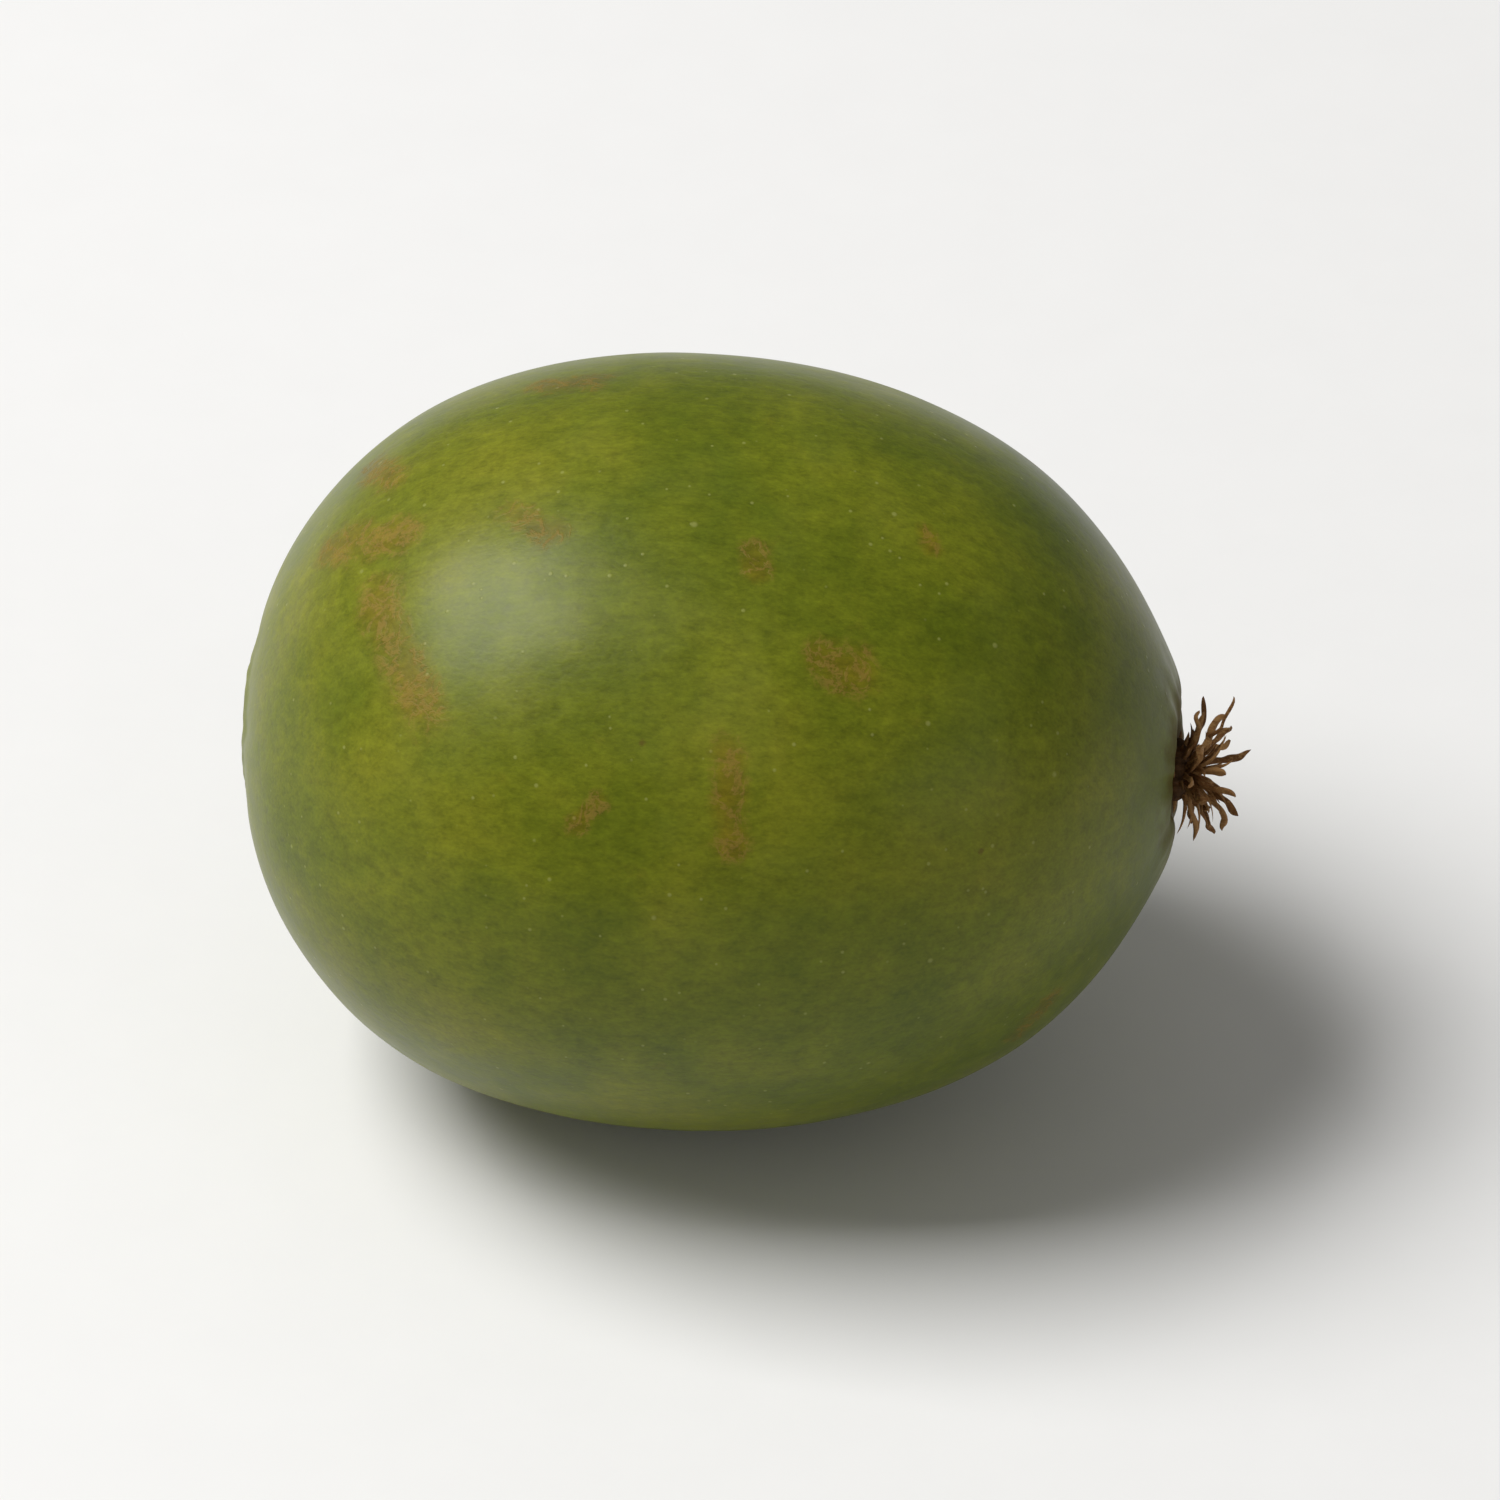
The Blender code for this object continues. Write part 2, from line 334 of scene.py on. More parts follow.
def makeFruit(f, s):
    # the fruit's points, fitted to the frame's box, moved outwards by swells and folds, and pressed
    # flat below: a height becomes half the sum of itself and the root of its square plus softness squared
    polar, turn = ballGrid(f["rings"], f["columns"], f["endCrowding"])
    raw, offAxis = fruitPoints(f, polar, turn)

    # the frame's fruit sets the box; its belly was round before it was pressed flat
    boxLow, boxHigh = (np.array(corner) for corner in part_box("berry"))
    boxLow[2] -= f["restDepth"]
    rawLow, rawHigh = raw.min(0), raw.max(0)

    def seated(points):
        return boxLow + (points - rawLow) / (rawHigh - rawLow) * (boxHigh - boxLow)

    points = seated(raw)
    half = (boxHigh - boxLow) / 2
    outward = (points - (boxLow + boxHigh) / 2) / half**2
    outward /= np.linalg.norm(outward, axis=1, keepdims=True)

    station = np.cos(polar)
    swell = np.zeros(len(points))
    for index, (size, wavelength, count) in enumerate(f["swells"]):
        swell += size * swells(points, wavelength, count, f["seed"] + index)
    swell *= 1 - bell(offAxis, f["calmRadius"])
    tuftFolds = folds(turn, f["tuftFolds"]) * near(offAxis, f["tuftFolds"]) * (station > 0)
    scarFolds = folds(turn, f["scarFolds"]) * near(offAxis, f["scarFolds"]) * (station < 0)
    swell += f["pucker"] * (tuftFolds + scarFolds)
    # broken ends of the veins that fed the fruit: a ring on the scar's floor, and one in its middle
    veins = np.clip(folds(turn, f["veinEnds"]), 0, 1) * near(offAxis, f["veinEnds"])
    veins += f["middleVein"] * bell(offAxis, f["middleVeinRadius"])
    swell += f["veinHeight"] * veins * (station < 0)
    points = points + outward * swell[:, None]

    height = points[:, 2]
    points[:, 2] = 0.5 * (height + np.sqrt(height**2 + f["restSoftness"] ** 2))

    scuff = np.zeros(len(points))
    for startPolar, startTurn, endPolar, endTurn, halfWidth in scuffLines(s):
        ends, _ = fruitPoints(f, np.radians([startPolar, endPolar]), np.radians([startTurn, endTurn]))
        start, end = seated(ends)
        scuff = np.maximum(scuff, nearness(points, start, end, s["reach"] * (halfWidth * mm)))

    attributes = {  # both distances in mm
        "tuftDistance": np.where(station > 0, offAxis, f["farAway"]) * 1000,
        "scarDistance": np.where(station < 0, offAxis, f["farAway"]) * 1000,
        "scuffNearness": scuff,
    }
    quads, fans = closedSkin(f["rings"], f["columns"])
    made = buildMesh("greenSkin", points, quads, fans, attributes)
    axis = seated(np.zeros((1, 3)))[0]
    seatFloor = points[-2]
    return made, axis, seatFloor


# the tuft of dried styles
strand = dict(  # what all its strands share
    droopPower=1.5,  # a strand bends down more and more along its length
    twist=1.6,  # radians, either way, from root to tip
    broadFolds=3, broadTurn=2.5, broadFade=0.4,  # folds along it, which wind and fade towards the tip
    fineFolds=5, fineTurn=11, finePhase=1.7, fineShare=0.5,
    rootWidth=1.2, thinning=0.7,  # width of a short strand at its root, and what it loses to its tip
    rootShare=0.05, rootRounding=0.98, leastTip=0.002,
)
tuft = dict(
    seatGap=0.2 * mm, buttonRadius=0.95 * mm, buttonThickness=0.9 * mm,
    styleCount=24, styleLength=2.7 * mm, rootRadius=0.23 * mm, tipRadius=0.14 * mm,
    steepestRise=math.radians(72), lowestRise=math.radians(19), risePower=0.7, droop=math.radians(26),
    riseSpread=math.radians(14), turnSpread=math.radians(15), bundleCount=5, bundling=0.6,
    sidewaysCurl=math.radians(38), lengthSpread=0.22, shortestShare=0.8,
    goldenAngle=math.radians(137.508), seed=11,
    steps=30, corners=16,
    slimness=0.66,  # width of a dried style against the smooth one of the frame
    thicknessSpread=(0.72, 1.12),
    flatness=0.66,  # thickness of a style against its width
    kink=0.11 * mm, kinkWaves=(0.9, 2.1, 3.7), kinkPower=1.3,  # how a dried style strays from its line
    hook=0.42 * mm, hookPower=4, hookSpread=(0.1, 1),  # how far its end bends to one side
    hookLean=(0.2, 1, 1),  # a hook turns sideways more than along the axis
    knots=0.14, knotCounts=(1.6, 3.2),  # how much its width comes and goes, and how often
    clubbing=0.12, clubPlace=0.86, clubLength=0.09,  # how much wider it is just short of its tip
    shrivel=0.2,  # depth of the folds along a style
    tipShare=0.12, tipPower=0.5,
)
anyPhase = (0, 6.28)


def drawStyles(t):
    # rise, turn, length and curl of each style, drawn in the order of the frame's own tuft: the rise
    # falls from steep to low, the turn goes on by the golden angle and draws together in bundles
    draw = random.Random(t["seed"])
    rows = []
    for index in range(t["styleCount"]):
        share = (index + 0.5) / t["styleCount"]
        rise = t["steepestRise"] + (t["lowestRise"] - t["steepestRise"]) * share ** t["risePower"]
        rise += draw.uniform(-t["riseSpread"], t["riseSpread"]) * (1 - share)
        turn = index * t["goldenAngle"]
        turn -= t["bundling"] * math.sin(t["bundleCount"] * turn) / t["bundleCount"]
        turn += draw.uniform(-t["turnSpread"], t["turnSpread"])
        length = t["styleLength"] * (t["shortestShare"] + (1 - t["shortestShare"]) * share)
        length *= 1 + draw.uniform(-t["lengthSpread"], t["lengthSpread"])
        curl = draw.uniform(-t["sidewaysCurl"], t["sidewaysCurl"])
        rows.append((rise, turn, length, curl))
    return np.array(rows).T


def strands(rise, turn, length, curl, droop, steps, start):
    # paths whose slope falls with the distance along them and whose heading curls to one side:
    # the points are the running sum of small steps, one row of them for each strand
    middle = (np.arange(steps) + 0.5) / steps
    slope = rise[:, None] - droop * middle ** strand["droopPower"]
    heading = turn[:, None] + curl[:, None] * middle
    flat = np.cos(slope)
    ahead = np.stack([np.sin(slope), flat * np.cos(heading), flat * np.sin(heading)], -1)
    hops = ahead * (length / steps)[:, None, None]
    paths = np.concatenate([np.zeros((len(rise), 1, 3)), np.cumsum(hops, 1)], 1)
    return paths + start


def straps(name, paths, turn, radius, flatness, shrivel, corners, seed):
    # an oval carried along each path: the oval's width lies across the strand's heading, its edge is
    # folded by cosines round it, it twists a little, and radius gives its size at each point
    draw = np.random.default_rng(seed)
    count, stations = paths.shape[:2]
    ahead = np.gradient(paths, axis=1)
    ahead /= np.linalg.norm(ahead, axis=2, keepdims=True)
    sideways = np.stack([np.zeros(count), -np.sin(turn), np.cos(turn)], -1)[:, None, :]
    sideways = sideways - (sideways * ahead).sum(-1, keepdims=True) * ahead
    sideways /= np.linalg.norm(sideways, axis=2, keepdims=True)
    over = np.cross(ahead, sideways)
    along = np.linspace(0, 1, stations)[None, :, None]
    twist = draw.uniform(-strand["twist"], strand["twist"], (count, 1, 1)) * along
    around = np.linspace(0, 2 * np.pi, corners, endpoint=False)[None, None, :]
    phase = draw.uniform(0, 2 * np.pi, (count, 1, 1))
    broad = np.cos(strand["broadFolds"] * around + phase + strand["broadTurn"] * along)
    fine = np.cos(strand["fineFolds"] * around - phase * strand["finePhase"] + strand["fineTurn"] * along)
    fold = 1 + shrivel * broad * (1 - strand["broadFade"] * along)
    fold += strand["fineShare"] * shrivel * fine
    wide = radius[:, :, None] * fold * np.cos(around)
    thick = radius[:, :, None] * fold * flatness * np.sin(around)
    a = (wide * np.cos(twist) - thick * np.sin(twist))[..., None]
    b = (wide * np.sin(twist) + thick * np.cos(twist))[..., None]
    rings = paths[:, :, None, :] + a * sideways[:, :, None, :] + b * over[:, :, None, :]

    quads, fans = closedSkin(stations, corners)
    quads, fans = quads[:, ::-1], fans[:, ::-1]
    size = stations * corners + 2
    points = np.concatenate([rings.reshape(count, -1, 3), paths[:, :1], paths[:, -1:]], 1)
    shift = (np.arange(count) * size)[:, None, None]
    alongValues = np.broadcast_to(along, (count, stations, corners)).reshape(count, -1)
    alongValues = np.concatenate([alongValues, np.zeros((count, 1)), np.ones((count, 1))], 1)
    tone = np.repeat(draw.uniform(0, 1, count), size)
    attributes = {"alongStrand": alongValues.ravel(), "strandTone": tone}
    return buildMesh(
        name, points.reshape(-1, 3), (quads[None] + shift).reshape(-1, 4),
        (fans[None] + shift).reshape(-1, 3), attributes)


def narrowEnds(stations, tipShare, tipPower):
    # 1 along the strand; it falls as a quarter circle over its first stretch, and over its last one
    # as a power of the way left to the tip; neither end shrinks to nothing
    along = np.linspace(0, 1, stations)
    root = np.clip(along / strand["rootShare"], 0, 1)
    tip = np.clip((1 - along) / tipShare, strand["leastTip"], 1)
    return np.sqrt(1 - (1 - root) ** 2 * strand["rootRounding"]) * tip**tipPower


def makeStyles(t, centre):
    # dried styles stray from their smooth line in three sine waves, more towards the tip, and end in
    # a hook; their width tapers with the root of the way along, comes and goes, and swells near the tip
    rise, turn, length, curl = drawStyles(t)
    paths = strands(rise, turn, length, curl, t["droop"], t["steps"], centre)
    count, stations = len(rise), t["steps"] + 1
    along = np.linspace(0, 1, stations)[None, :]
    draw = np.random.default_rng(t["seed"])
    stray = np.zeros_like(paths)
    for wave in t["kinkWaves"]:
        swing = draw.normal(size=(count, 1, 3))
        phase = draw.uniform(*anyPhase, (count, 1))
        stray += (np.sin(2 * np.pi * wave * along + phase) - np.sin(phase))[..., None] * swing / wave
    hook = draw.normal(size=(count, 1, 3)) * t["hookLean"]
    hook /= np.linalg.norm(hook, axis=2, keepdims=True)
    hook *= draw.uniform(*t["hookSpread"], (count, 1, 1))
    paths = paths + t["kink"] * stray * (along ** t["kinkPower"])[..., None]
    paths = paths + t["hook"] * hook * (along ** t["hookPower"])[..., None]

    taper = t["rootRadius"] + (t["tipRadius"] - t["rootRadius"]) * np.sqrt(along)
    knots = draw.uniform(*t["knotCounts"], (count, 1)) * 2 * np.pi * along
    knots = knots + draw.uniform(*anyPhase, (count, 1))
    club = 1 + t["knots"] * np.sin(knots) + t["clubbing"] * bell(along - t["clubPlace"], t["clubLength"])
    thickness = draw.uniform(*t["thicknessSpread"], (count, 1)) * t["slimness"]
    radius = taper * club * thickness * narrowEnds(stations, t["tipShare"], t["tipPower"])
    return straps("driedStyles", paths, turn, radius, t["flatness"], t["shrivel"], t["corners"], t["seed"])


slivers = dict(  # thin slivers that have split off the styles; angles in degrees
    name="styleSlivers", count=32, length=(1.5 * mm, 2.6 * mm), radius=(0.05 * mm, 0.11 * mm),
    rise=(22, 76), curl=1.5, droop=55, lift=0.0,
    steps=22, corners=8, flatness=0.7, shrivel=0.1, tipShare=0.3, tipPower=0.6, seed=4,
)
shortStyles = dict(  # styles that broke off short; they fill the seat round the button
    name="styleStubs", count=46, length=(1.05 * mm, 1.5 * mm), radius=(0.10 * mm, 0.17 * mm),
    rise=(-8, 46), curl=0.5, droop=12, lift=-0.1 * mm,
    steps=12, corners=8, flatness=0.65, shrivel=0.15, tipShare=0.3, tipPower=0.6, seed=9,
)


def makeBits(b, centre):
    # short strands at random headings round the axis, some steep and some low, that thin evenly
    # from root to tip
    draw = np.random.default_rng(b["seed"])
    turn = draw.uniform(0, 2 * np.pi, b["count"])
    rise = np.radians(draw.uniform(*b["rise"], b["count"]))
    length = draw.uniform(*b["length"], b["count"])
    curl = draw.uniform(-b["curl"], b["curl"], b["count"])
    start = centre + np.array([b["lift"], 0, 0])
    paths = strands(rise, turn, length, curl, math.radians(b["droop"]), b["steps"], start)
    stations = b["steps"] + 1
    along = np.linspace(0, 1, stations)[None, :]
    thickness = draw.uniform(*b["radius"], (b["count"], 1))
    taper = strand["rootWidth"] - strand["thinning"] * along
    radius = thickness * taper * narrowEnds(stations, b["tipShare"], b["tipPower"])
    return straps(b["name"], paths, turn, radius, b["flatness"], b["shrivel"], b["corners"], b["seed"])


button = dict(
    rings=30, columns=96, slimness=0.95, ribs=24, ribDepth=0.06,
    lobes=5, lobeDepth=0.05, lobePhase=1.0,
    stalkDrop=0.32 * mm,  # how far its underside reaches down into the seat
)


def makeButton(b, t, centre):
    # a ball pressed flat along the axis, with low ribs that run in to its middle and five broad lobes
    polar, turn = ballGrid(b["rings"], b["columns"])
    rib = 1 + b["ribDepth"] * np.cos(b["ribs"] * turn) * np.sin(polar) ** 2
    rib += b["lobeDepth"] * np.cos(b["lobes"] * turn + b["lobePhase"]) * np.sin(polar)
    reach = b["slimness"] * t["buttonRadius"] * np.sin(polar) * rib
    x = t["buttonThickness"] / 2 * np.cos(polar) - b["stalkDrop"] * (np.cos(polar) < 0) * np.cos(polar) ** 2
    points = np.stack([x, reach * np.cos(turn), reach * np.sin(turn)], -1) + centre
    quads, fans = closedSkin(b["rings"], b["columns"])
    return buildMesh("styleButton", points, quads, fans)


# the finishes: a noise is its scale per mm, octaves, roughness and distortion; a range is where an
# ease starts and ends; a wobble is how much a noise moves a border; a share is how much of a colour
# is laid on; heights are in mm
skinLook = dict(
    deepGreen=(0.080, 0.106, 0.003), olive=(0.122, 0.142, 0.005), yellowGreen=(0.182, 0.182, 0.010),
    broadNoise=(0.13, 3.0, 0.5, 0.4), mediumNoise=(0.55, 4.0, 0.6, 0.3), broadPart=0.65, mediumPart=0.35,
    # the stalk-end gradient below is partly the skin's own tint and partly painted light on that lit end
    stalkEndTintAndPaintedLight=0.0045,  # for each mm towards the stalk end
    oliveRange=(0.30, 0.54), yellowRange=(0.46, 0.74), yellowShare=0.8,

    stretch=(0.55, 1.0, 1.0), grainNoise=(3.2, 4.0, 0.62), stippleNoise=(11.0, 2.0, 0.6),
    veinDrift=(0.022, 0.0, 0.0), veinNoise=(17.0, 3.0, 0.6, 0.2),
    veinRange=(0.50, 0.74), veinPatches=(0.30, 0.6),
    shade=0.20, grainShade=0.92, stippleShade=0.62, veinShade=0.14,

    palePore=(0.30, 0.31, 0.09), poreShare=0.46, poreEdge=(1.6, 0.5), poreSoftness=0.05,
    poreSets=((1.7, 0.026, 0.030, 0.35), (0.62, 0.040, 0.050, 0.5)),  # scale, least, spread, bare cells
    redSpeck=(0.080, 0.030, 0.006), speckShare=0.55, speckShift=(3.3, 1.7, 5.1), speckScale=0.30,
    speckWobble=0.30, speckEdge=(0.15, 0.04), speckCells=(0.52, 0.57),

    russetTint=(1.12, 0.68, 0.60), russetPale=(0.27, 0.15, 0.036),
    cloudNoise=(0.9, 4.0, 0.65), netNoise=(1.25, 5.0, 0.64, 0.5),
    haloWobble=1.5, haloRange=(0.12, 0.95), haloShare=0.60,
    netWobble=1.2, netRange=(0.15, 0.70),
    threadEdge=(0.060, 0.010), threadGaps=(0.30, 0.50), threadShare=0.40,

    # the first colour here, a darker green near the tuft, is partly the skin's own tint and partly painted
    # shade on that end
    tipGreenAndShade=(0.056, 0.072, 0.002), tipBrown=(0.080, 0.040, 0.010), seatDark=(0.060, 0.030, 0.009),
    tipNoise=(1.1, 4.0, 0.6), greenWobble=5, greenRange=(8.0, 3.0), greenShare=0.45,
    brownWobble=2.8, brownRange=(3.8, 1.5), brownShare=0.75,
    seatWobble=0.7, seatRange=(1.95, 1.35), seatShare=0.93,

    scarFloor=(0.096, 0.042, 0.016), scarDark=(0.040, 0.017, 0.007), scarRim=(0.125, 0.078, 0.022),
    scarWobble=0.8, rimRange=(2.15, 1.70), rimShare=0.70,
    scarRange=(1.70, 1.30), scarShare=0.95, pitRange=(0.40, 0.66),

    waxBloom=(0.22, 0.26, 0.06), bloomNoise=(0.20, 3.0, 0.6, 0.3), bloomRange=(0.48, 0.72), bloomShare=0.06,

    roughness=0.38, grainRoughness=0.16, bloomRoughness=0.06, dryRoughness=0.40,
    dryThreads=0.35, dryTip=0.8,  # how dry the corky threads and the brown tip are
    coat=0.06, bloomOnCoat=0.4, coatRoughness=0.20, specular=0.24,
    glossTint=(1.0, 1.0, 0.72),  # the wax turns the soft shine a little yellow
    subsurface=0.10, subsurfaceRadius=(0.9, 1.0, 0.25), subsurfaceScale=0.9 * mm,
    waveHeight=0.016, grainHeight=0.009, stippleHeight=0.0022, poreHeight=0.006, threadHeight=0.005,
    dryEndHeight=0.06,
)


def skinFinish(look, centre):
    # layers of colour from the ground tint up, then how dull and how rough each of them is
    r = Recipe("green fruit skin")
    place = r.vector("SUBTRACT", r.millimetres(), tuple(c * 1000 for c in centre))
    toTuft = r.attribute("tuftDistance")
    toScar = r.attribute("scarDistance")
    scuff = r.attribute("scuffNearness")
    station = r.node("ShaderNodeSeparateXYZ", {}, {0: place}, 0)

    # deep green through olive to yellow green in soft patches, yellower and lighter towards the stalk end:
    # partly the skin's own tint, partly painted light where that end is lit
    broad = r.noise(place, *look["broadNoise"])
    medium = r.noise(place, *look["mediumNoise"])
    patch = broad * look["broadPart"] + medium * look["mediumPart"] - station * look["stalkEndTintAndPaintedLight"]
    skin = r.mix(r.ease(patch, *look["oliveRange"]), look["deepGreen"], look["olive"])
    skin = r.mix(r.ease(patch, *look["yellowRange"]) * look["yellowShare"], skin, look["yellowGreen"])

    # grain drawn out along the fruit, a fine stipple, and pale veins that run from end to end
    lengthwise = r.vector("MULTIPLY", place, look["stretch"])
    grain = r.noise(lengthwise, *look["grainNoise"])
    stipple = r.noise(lengthwise, *look["stippleNoise"])
    around = r.vector("NORMALIZE", r.vector("MULTIPLY", place, (0.0, 1.0, 1.0)))
    drift = r.vector("MULTIPLY", place, look["veinDrift"])
    veinNoise = r.noise(r.vector("ADD", around, drift), *look["veinNoise"])
    veins = r.ease(veinNoise, *look["veinRange"]) * r.ease(medium, *look["veinPatches"])
    shade = look["shade"] + grain * look["grainShade"] + stipple * look["stippleShade"]
    skin = r.scaled(skin, shade + veins * look["veinShade"])

    # pale pores: many tiny ones and a few larger, each in a cell of its own
    pores = None
    for scale, least, spread, bare in look["poreSets"]:
        gap, lot = r.cells(place, scale)
        dots = r.ease(gap / (least + lot * spread), *look["poreEdge"])
        dots = dots * r.ease(lot, bare - look["poreSoftness"], bare + look["poreSoftness"])
        pores = dots if pores is None else pores.larger(dots)
    skin = r.mix(pores * look["poreShare"], skin, look["palePore"])

    # a few small red-brown specks with uneven edges
    gap, lot = r.cells(r.vector("ADD", place, look["speckShift"]), look["speckScale"])
    specks = r.ease(r.stray(gap, grain, look["speckWobble"]), *look["speckEdge"])
    specks = specks * r.ease(lot, *look["speckCells"])
    skin = r.mix(specks * look["speckShare"], skin, look["redSpeck"])

    # russet: a soft brown tint round each drawn line, with a net of fine corky threads in it;
    # a thread runs where a noise crosses its middle value
    cloud = r.noise(place, *look["cloudNoise"])
    halo = r.ease(r.stray(scuff, cloud, look["haloWobble"]), *look["haloRange"])
    netNoise = r.noise(place, *look["netNoise"])
    inside = r.ease(r.stray(scuff, cloud, look["netWobble"]), *look["netRange"])
    threads = r.ease((netNoise - 0.5).size(), *look["threadEdge"]) * inside
    threads = threads * r.ease(stipple, *look["threadGaps"])
    skin = r.mix(halo * look["haloShare"], skin, r.vector("MULTIPLY", skin, look["russetTint"]))
    skin = r.mix(threads * look["threadShare"], skin, look["russetPale"])

    # a deeper, darker green towards the tuft, partly the skin's own tint and partly painted shade on that
    # shaded end; browner round it, dark in its seat
    tipNoise = r.noise(place, *look["tipNoise"])
    deeperGreenAndShade = r.ease(r.stray(toTuft, medium, look["greenWobble"]), *look["greenRange"])
    skin = r.mix(deeperGreenAndShade * look["greenShare"], skin, look["tipGreenAndShade"])
    brownTip = r.ease(r.stray(toTuft, tipNoise, look["brownWobble"]), *look["brownRange"])
    skin = r.mix(brownTip * look["brownShare"], skin, look["tipBrown"])
    seat = r.ease(r.stray(toTuft, tipNoise, look["seatWobble"]), *look["seatRange"])
    skin = r.mix(seat * look["seatShare"], skin, look["seatDark"])

    # the stalk scar: a thin corky rim, then a red-brown floor with darker dots where veins broke
    edge = r.stray(toScar, tipNoise, look["scarWobble"])
    rim = r.ease(edge, *look["rimRange"])
    skin = r.mix(rim * look["rimShare"], skin, look["scarRim"])
    scar = r.ease(edge, *look["scarRange"])
    scarColour = r.mix(r.ease(grain, *look["pitRange"]), look["scarFloor"], look["scarDark"])
    skin = r.mix(scar * look["scarShare"], skin, scarColour)

    # a thin wax bloom, in soft patches, but not where the skin is dry
    dry = (threads * look["dryThreads"]).larger(rim).larger(brownTip * look["dryTip"])
    bloom = r.ease(r.noise(place, *look["bloomNoise"]), *look["bloomRange"]) * (1 - dry)
    skin = r.mix(bloom * look["bloomShare"], skin, look["waxBloom"])

    roughness = r.stray(look["roughness"], grain, look["grainRoughness"])
    roughness = roughness + bloom * look["bloomRoughness"] + dry * look["dryRoughness"]
    coat = (1 - dry) * look["coat"] * (1 - bloom * look["bloomOnCoat"])

    # slow waves, grain, pores that stand proud, corky threads and dry ends that are rough
    height = medium * look["waveHeight"] + grain * look["grainHeight"] + stipple * look["stippleHeight"]
    height = height + pores * look["poreHeight"] + threads * look["threadHeight"]
    height = height + rim.larger(seat) * grain * look["dryEndHeight"]
    return r.finish({
        "Base Color": skin, "Roughness": roughness, "Coat Weight": coat, "Normal": r.bump(height),
        "Coat Roughness": look["coatRoughness"], "Specular IOR Level": look["specular"],
        "Specular Tint": (*look["glossTint"], 1),
        "Subsurface Weight": look["subsurface"], "Subsurface Radius": look["subsurfaceRadius"],
        "Subsurface Scale": look["subsurfaceScale"],
    })


styleLook = dict(
    dark=(0.114, 0.046, 0.012), brown=(0.305, 0.141, 0.046), worn=(0.43, 0.258, 0.100),
    blotchNoise=(1.6, 3.0, 0.6), blotchPart=0.6, tonePart=0.4, brownRange=(0.25, 0.75),
    fibreStretch=(1.0, 2.2, 2.2), fibreNoise=(6.0, 4.0, 0.65), fineNoise=(14.0, 2.0),
    wornByTone=0.25, wornByTip=0.18, wornRange=(0.62, 0.90), wornShare=0.55,
    tipWobble=0.2, tipRange=(0.86, 1.0), tipShare=0.5,
    roughness=0.68, fibreRoughness=0.3, specular=0.15, fibreHeight=0.035, fineHeight=0.008,
)


def styleFinish(look):
    # blotches of dark and mid brown, another mix on each strand, paler where fibres are worn bare,
    # and dark again at the tip
    r = Recipe("dried styles")
    place = r.millimetres()
    along = r.attribute("alongStrand")
    tone = r.attribute("strandTone")
    blotch = r.noise(place, *look["blotchNoise"])
    fibre = r.noise(r.vector("MULTIPLY", place, look["fibreStretch"]), *look["fibreNoise"])
    browning = r.ease(blotch * look["blotchPart"] + tone * look["tonePart"], *look["brownRange"])
    body = r.mix(browning, look["dark"], look["brown"])
    worn = r.ease(fibre + tone * look["wornByTone"] + along * look["wornByTip"], *look["wornRange"])
    body = r.mix(worn * look["wornShare"], body, look["worn"])
    darkTip = r.ease(r.stray(along, blotch, look["tipWobble"]), *look["tipRange"])
    body = r.mix(darkTip * look["tipShare"], body, look["dark"])
    height = fibre * look["fibreHeight"] + r.noise(place, *look["fineNoise"]) * look["fineHeight"]
    return r.finish({
        "Base Color": body, "Roughness": r.stray(look["roughness"], fibre, look["fibreRoughness"]),
        "Normal": r.bump(height), "Specular IOR Level": look["specular"],
    })


buttonLook = dict(
    dark=(0.045, 0.020, 0.006), brown=(0.140, 0.066, 0.022),
    blotchNoise=(2.2, 4.0, 0.6), brownRange=(0.35, 0.7), coarseNoise=(6.0, 4.0, 0.65), coarseHeight=0.06,
    roughness=0.75, blotchRoughness=0.2, specular=0.25,
)


def buttonFinish(look):
    # blotches of two dark browns over coarse relief
    r = Recipe("dried style button")
    place = r.millimetres()
    blotch = r.noise(place, *look["blotchNoise"])
    body = r.mix(r.ease(blotch, *look["brownRange"]), look["dark"], look["brown"])
    height = r.noise(place, *look["coarseNoise"]) * look["coarseHeight"]
    return r.finish({
        "Base Color": body, "Roughness": r.stray(look["roughness"], blotch, look["blotchRoughness"]),
        "Normal": r.bump(height), "Specular IOR Level": look["specular"],
    })


# every piece is made, finished and put on its body
skin, fruitAxis, seatFloor = makeFruit(fruit, scuffs)
skin.data.materials.append(skinFinish(skinLook, fruitAxis))
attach(skin, "root")
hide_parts("berry")
print("fruit made")

tuftCentre = fruitAxis.copy()
tuftCentre[0] = seatFloor[0] + tuft["seatGap"] + tuft["buttonThickness"] / 2
driedStyle = styleFinish(styleLook)
styles = makeStyles(tuft, tuftCentre)
thinBits = makeBits(slivers, tuftCentre)
shortBits = makeBits(shortStyles, tuftCentre)
core = makeButton(button, tuft, tuftCentre)
for piece in (styles, thinBits, shortBits):
    piece.data.materials.append(driedStyle)
core.data.materials.append(buttonFinish(buttonLook))
for piece in (styles, thinBits, shortBits, core):
    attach(piece, "root")
    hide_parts("style_tuft")
print("tuft made")


# floor, lights and camera
studio = dict(
    floorSize=4.0, floorTint=(0.82, 0.815, 0.805),
    floorNoise=(0.35, 4.0, 0.6), floorDarkest=0.97, floorRoughness=0.6,
    world=(1.0, 0.99, 0.97), worldStrength=0.22,
    lights=[  # name, azimuth, elevation, distance, width, height, watts
        ("key softbox", -88, 57, 0.60, 0.38, 0.32, 4.35),
        ("low fill", 58, 18, 0.70, 0.40, 0.30, 0.35),
    ],
)


def towards(azimuth, elevation):
    # the unit vector that points azimuth degrees round from -y, and elevation degrees above the floor
    a, e = math.radians(azimuth), math.radians(elevation)
    return Vector((math.sin(a) * math.cos(e), -math.cos(a) * math.cos(e), math.sin(e)))


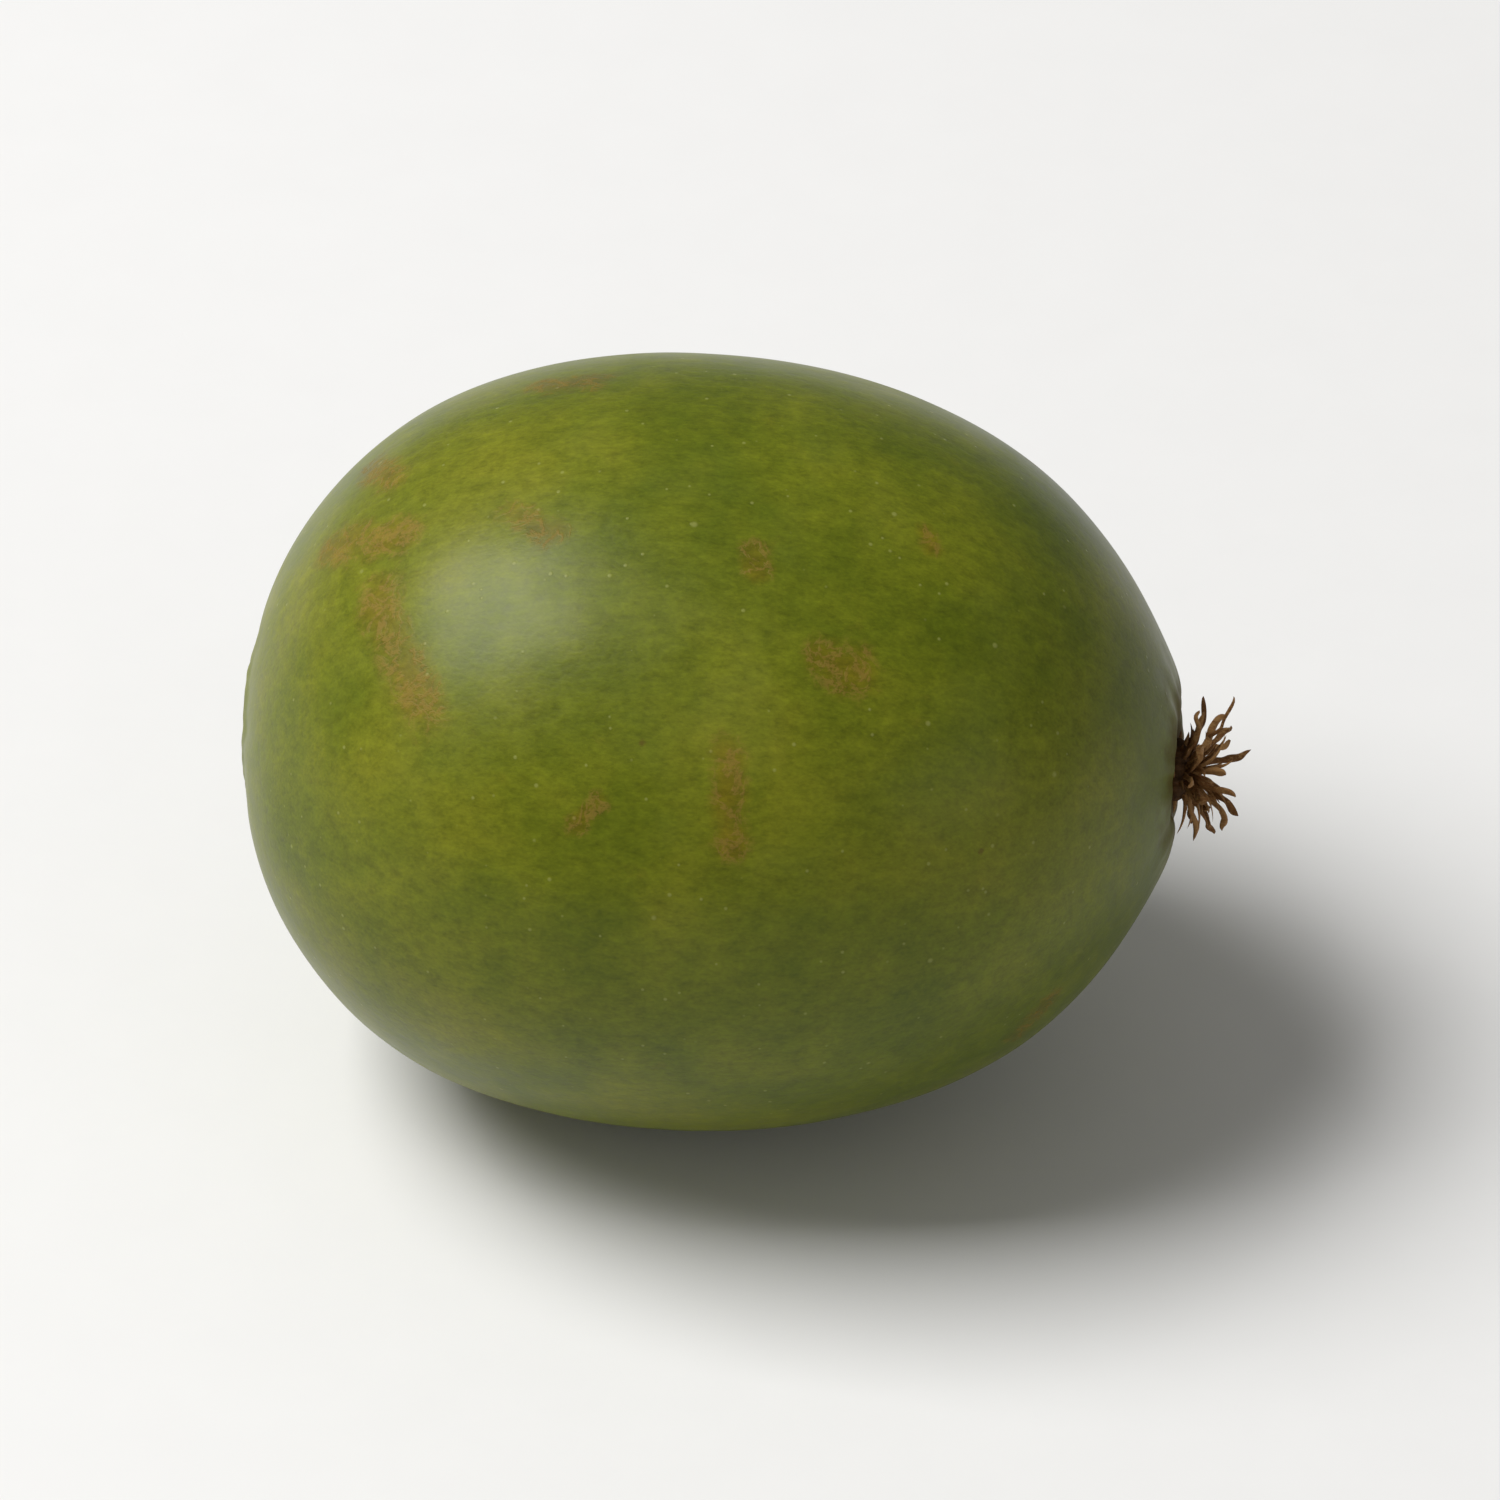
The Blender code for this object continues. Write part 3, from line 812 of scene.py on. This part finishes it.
def floorFinish(s):
    # a pale floor with a faint cloud in its tint
    r = Recipe("pale floor")
    fine = r.noise(r.millimetres(), *s["floorNoise"])
    darker = tuple(s["floorDarkest"] * channel for channel in s["floorTint"])
    return r.finish({"Base Color": r.mix(fine, darker, s["floorTint"]), "Roughness": s["floorRoughness"]})


def makeStudio(s, target):
    # a square floor under an even pale sky, and soft lights that all face the target
    half = s["floorSize"] / 2
    corners = np.array([(-half, -half, 0), (half, -half, 0), (half, half, 0), (-half, half, 0)])
    floor = buildMesh("floor", corners, np.array([[0, 1, 2, 3]]), np.zeros((0, 3), int))
    floor.data.materials.append(floorFinish(s))
    world = bpy.data.worlds.new("studio air")
    world.use_nodes = True
    air = world.node_tree.nodes["Background"]
    air.inputs["Color"].default_value = (*s["world"], 1)
    air.inputs["Strength"].default_value = s["worldStrength"]
    scene.world = world
    for name, azimuth, elevation, distance, width, height, watts in s["lights"]:
        lamp = bpy.data.lights.new(name, "AREA")
        lamp.shape = "RECTANGLE"
        lamp.size = width
        lamp.size_y = height
        lamp.energy = watts
        holder = bpy.data.objects.new(name, lamp)
        away = towards(azimuth, elevation)
        holder.location = target + away * distance
        holder.rotation_mode = "QUATERNION"
        holder.rotation_quaternion = away.to_track_quat("Z", "Y")
        scene.collection.objects.link(holder)


shot = dict(azimuth=5, elevation=38, distance=0.42, lens=330, sensor=36, lift=-0.2 * mm)


def makeCamera(s, target):
    # a long lens that looks down at the target
    lens = bpy.data.cameras.new("camera")
    lens.lens = s["lens"]
    lens.sensor_width = s["sensor"]
    lens.clip_start = 0.01
    lens.clip_end = 20
    camera = bpy.data.objects.new("camera", lens)
    back = towards(s["azimuth"], s["elevation"])
    camera.location = target + Vector((0, 0, s["lift"])) + back * s["distance"]
    camera.rotation_mode = "QUATERNION"
    camera.rotation_quaternion = back.to_track_quat("Z", "Y")
    scene.collection.objects.link(camera)
    scene.camera = camera


middle = (cadLow + cadHigh) / 2
makeStudio(studio, middle)
makeCamera(shot, middle)
print("studio made")
